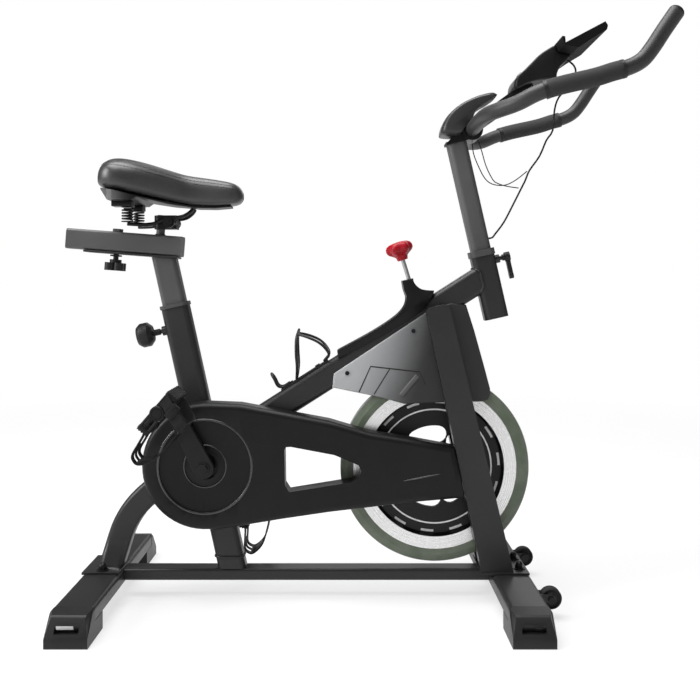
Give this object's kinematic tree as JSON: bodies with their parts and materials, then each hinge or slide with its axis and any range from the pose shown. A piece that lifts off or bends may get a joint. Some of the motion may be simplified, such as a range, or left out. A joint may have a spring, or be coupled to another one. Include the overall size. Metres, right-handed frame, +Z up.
{
  "type": "exercise bike",
  "caption": "Upright indoor cycling bike with a flywheel driven by an enclosed belt, sliding saddle and handlebar posts, toe-cage pedals, a resistance knob and a small console.",
  "frame": {"origin": "on the floor under the middle of the bike's bounding box", "axes": "+X forwards to the handlebar, +Y to the rider's left, +Z up"},
  "size_m": [1.0863, 0.524, 1.0616],
  "materials": {
    "frame_paint": "satin black powder coat",
    "bright_steel": "bare steel",
    "cap_plastic": "moulded black",
    "cover_plastic": "moulded black",
    "belt_rubber": "ribbed black",
    "shroud_plastic": "moulded dark grey",
    "bushing_plastic": "light grey nylon",
    "cage_plastic": "black",
    "wheel_plastic": "dark wheel",
    "flywheel_iron": "painted face with a machined ring",
    "hub_steel": "black",
    "crank_paint": "black",
    "pedal_plastic": "moulded black",
    "knob_red": "moulded red",
    "brake_felt": "wool felt block",
    "post_steel": "satin grey coat",
    "knob_black": "moulded black",
    "base_plastic": "moulded grey",
    "saddle_vinyl": "stitched black vinyl",
    "bar_paint": "satin grey coat",
    "grip_foam": "closed-cell foam",
    "button_plastic": "light grey",
    "lead_rubber": "black sheathed lead"
  },
  "bodies": {
    "frame": {"base_tube": "frame_paint", "seat_tube": "frame_paint", "main_tube": "frame_paint", "rear_leg": "frame_paint", "fork": "frame_paint", "head_tube": "frame_paint", "bottom_bracket_shell": "frame_paint", "bottom_bracket_bearings": "bright_steel", "flywheel_axle": "bright_steel", "rear_stabiliser": "frame_paint", "front_stabiliser": "frame_paint", "end_caps": "cap_plastic", "stabiliser_bolts": "bright_steel", "wheel_axles": "bright_steel", "belt_cover": "cover_plastic", "belt_backplate": "cover_plastic", "drive_belt": "belt_rubber", "flywheel_shroud": "shroud_plastic", "panel_screws": "bright_steel", "tension_housing": "cover_plastic", "post_bushings": "bushing_plastic", "bottle_cage": "cage_plastic"},
    "right_wheel": {"transport_wheel_right": "wheel_plastic"},
    "left_wheel": {"transport_wheel_left": "wheel_plastic"},
    "flywheel": {"flywheel": "flywheel_iron", "flywheel_hub": "hub_steel", "flywheel_bearings": "bright_steel"},
    "crank": {"crank_axle": "bright_steel", "drive_pulley": "hub_steel", "crank_arms": "crank_paint", "crank_bolts": "crank_paint", "pedal_spindles": "bright_steel"},
    "right_pedal": {"pedal_right": "pedal_plastic", "toe_cage_right": "pedal_plastic"},
    "left_pedal": {"pedal_left": "pedal_plastic", "toe_cage_left": "pedal_plastic"},
    "brake": {"brake_pad": "brake_felt", "tension_rod": "bright_steel"},
    "resistance_knob": {"tension_knob": "knob_red"},
    "seat_post": {"seat_post": "post_steel", "slider_guide": "frame_paint"},
    "seat_pin": {"seat_height_pin": "knob_black"},
    "saddle": {"saddle_slider": "post_steel", "saddle_clamp": "crank_paint", "saddle_undercarriage": "crank_paint", "saddle_base": "base_plastic", "saddle_cushion": "saddle_vinyl"},
    "slider_knob": {"slider_knob": "knob_black"},
    "handlebar": {"handlebar_post": "post_steel", "handlebar_clamp": "crank_paint", "clamp_cover": "cover_plastic", "handlebar": "bar_paint", "grips": "grip_foam", "console": "cover_plastic", "tablet_shelf": "cover_plastic", "console_lead": "lead_rubber", "pulse_lead_right": "lead_rubber", "pulse_lead_left": "lead_rubber"},
    "button": {"console_button": "button_plastic"},
    "head_lever": {"head_lever": "knob_black"}
  },
  "joints": [
    {"name": "flywheel_spin", "type": "hinge", "parent": "frame", "child": "flywheel", "pos_m": [0.152, 0, 0.244], "axis": [0, 1, 0], "continuous": true},
    {"name": "crank_spin", "type": "hinge", "parent": "frame", "child": "crank", "pos_m": [-0.274, 0, 0.254], "axis": [0, 1, 0], "continuous": true},
    {"name": "right_pedal_spin", "type": "hinge", "parent": "crank", "child": "right_pedal", "pos_m": [-0.33383, -0.146, 0.36942], "axis": [0, 1, 0], "continuous": true},
    {"name": "left_pedal_spin", "type": "hinge", "parent": "crank", "child": "left_pedal", "pos_m": [-0.21417, 0.146, 0.13858], "axis": [0, 1, 0], "continuous": true},
    {"name": "seat_height", "type": "slide", "parent": "frame", "child": "seat_post", "axis": [-0.2164, 0, 0.9763], "range_m": [-0.07, 0.09]},
    {"name": "seat_pin_pull", "type": "slide", "parent": "frame", "child": "seat_pin", "axis": [-0.9763, 0, -0.2164], "range_m": [0, 0.008], "stiffness_N_per_m": 900, "springref_m": -0.004},
    {"name": "saddle_reach", "type": "slide", "parent": "seat_post", "child": "saddle", "axis": [0.9972, 0, -0.075], "range_m": [-0.04, 0.04]},
    {"name": "slider_knob_turn", "type": "hinge", "parent": "saddle", "child": "slider_knob", "pos_m": [-0.45214, 0, 0.63872], "axis": [0.075, 0, 0.9972], "continuous": true},
    {"name": "handlebar_height", "type": "slide", "parent": "frame", "child": "handlebar", "axis": [-0.2215, 0, 0.9751], "range_m": [0, 0.05]},
    {"name": "button_press", "type": "slide", "parent": "handlebar", "child": "button", "axis": [0.6547, 0, -0.7559], "range_m": [0, 0.001], "stiffness_N_per_m": 150, "springref_m": -0.002},
    {"name": "head_lever_turn", "type": "hinge", "parent": "frame", "child": "head_lever", "pos_m": [0.28425, 0, 0.6398], "axis": [0.9751, 0, 0.2215], "range_deg": [-120, 120]},
    {"name": "brake_push", "type": "slide", "parent": "frame", "child": "brake", "axis": [-0.299, 0, 0.9542], "range_m": [-0.01, 0], "stiffness_N_per_m": 500, "springref_m": 0.02},
    {"name": "resistance_knob_turn", "type": "hinge", "parent": "brake", "child": "resistance_knob", "pos_m": [0.1034, 0, 0.6005], "axis": [-0.299, 0, 0.9542], "continuous": true},
    {"name": "right_wheel_spin", "type": "hinge", "parent": "frame", "child": "right_wheel", "pos_m": [0.345, -0.122, 0.036], "axis": [0, 1, 0], "continuous": true},
    {"name": "left_wheel_spin", "type": "hinge", "parent": "frame", "child": "left_wheel", "pos_m": [0.345, 0.122, 0.036], "axis": [0, 1, 0], "continuous": true}
  ],
  "couplings": [
    {"joint": "crank_spin", "follows": "flywheel_spin", "ratio": 0.28261}
  ]
}
